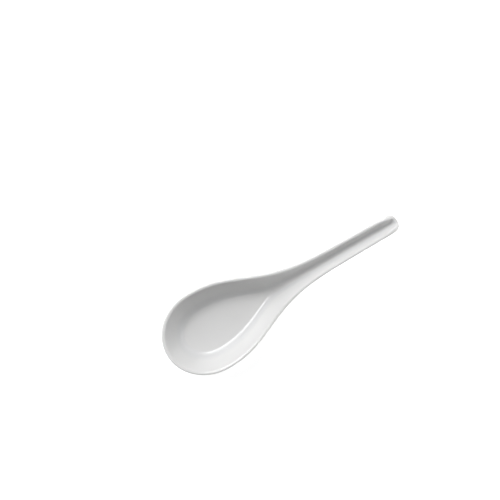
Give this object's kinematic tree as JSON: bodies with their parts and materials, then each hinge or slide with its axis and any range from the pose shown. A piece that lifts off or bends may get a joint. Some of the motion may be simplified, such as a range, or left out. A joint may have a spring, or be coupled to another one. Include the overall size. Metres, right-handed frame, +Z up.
{
  "type": "chinese soup spoon",
  "caption": "White glazed porcelain soup spoon with a flat-floored pear-shaped bowl, a rising grooved handle and a low bare foot ring that it stands on.",
  "frame": {"origin": "on the table, under the middle of the spoon's length and width", "axes": "+X runs from the bowl to the handle tip, +Z is up from the table, +Y is across the bowl"},
  "size_m": [0.14, 0.0464, 0.0477],
  "materials": {
    "biscuit": "matte",
    "glaze": "gloss"
  },
  "bodies": {
    "root": {"biscuit_body": "biscuit", "glaze_coat": "glaze"}
  },
  "joints": []
}
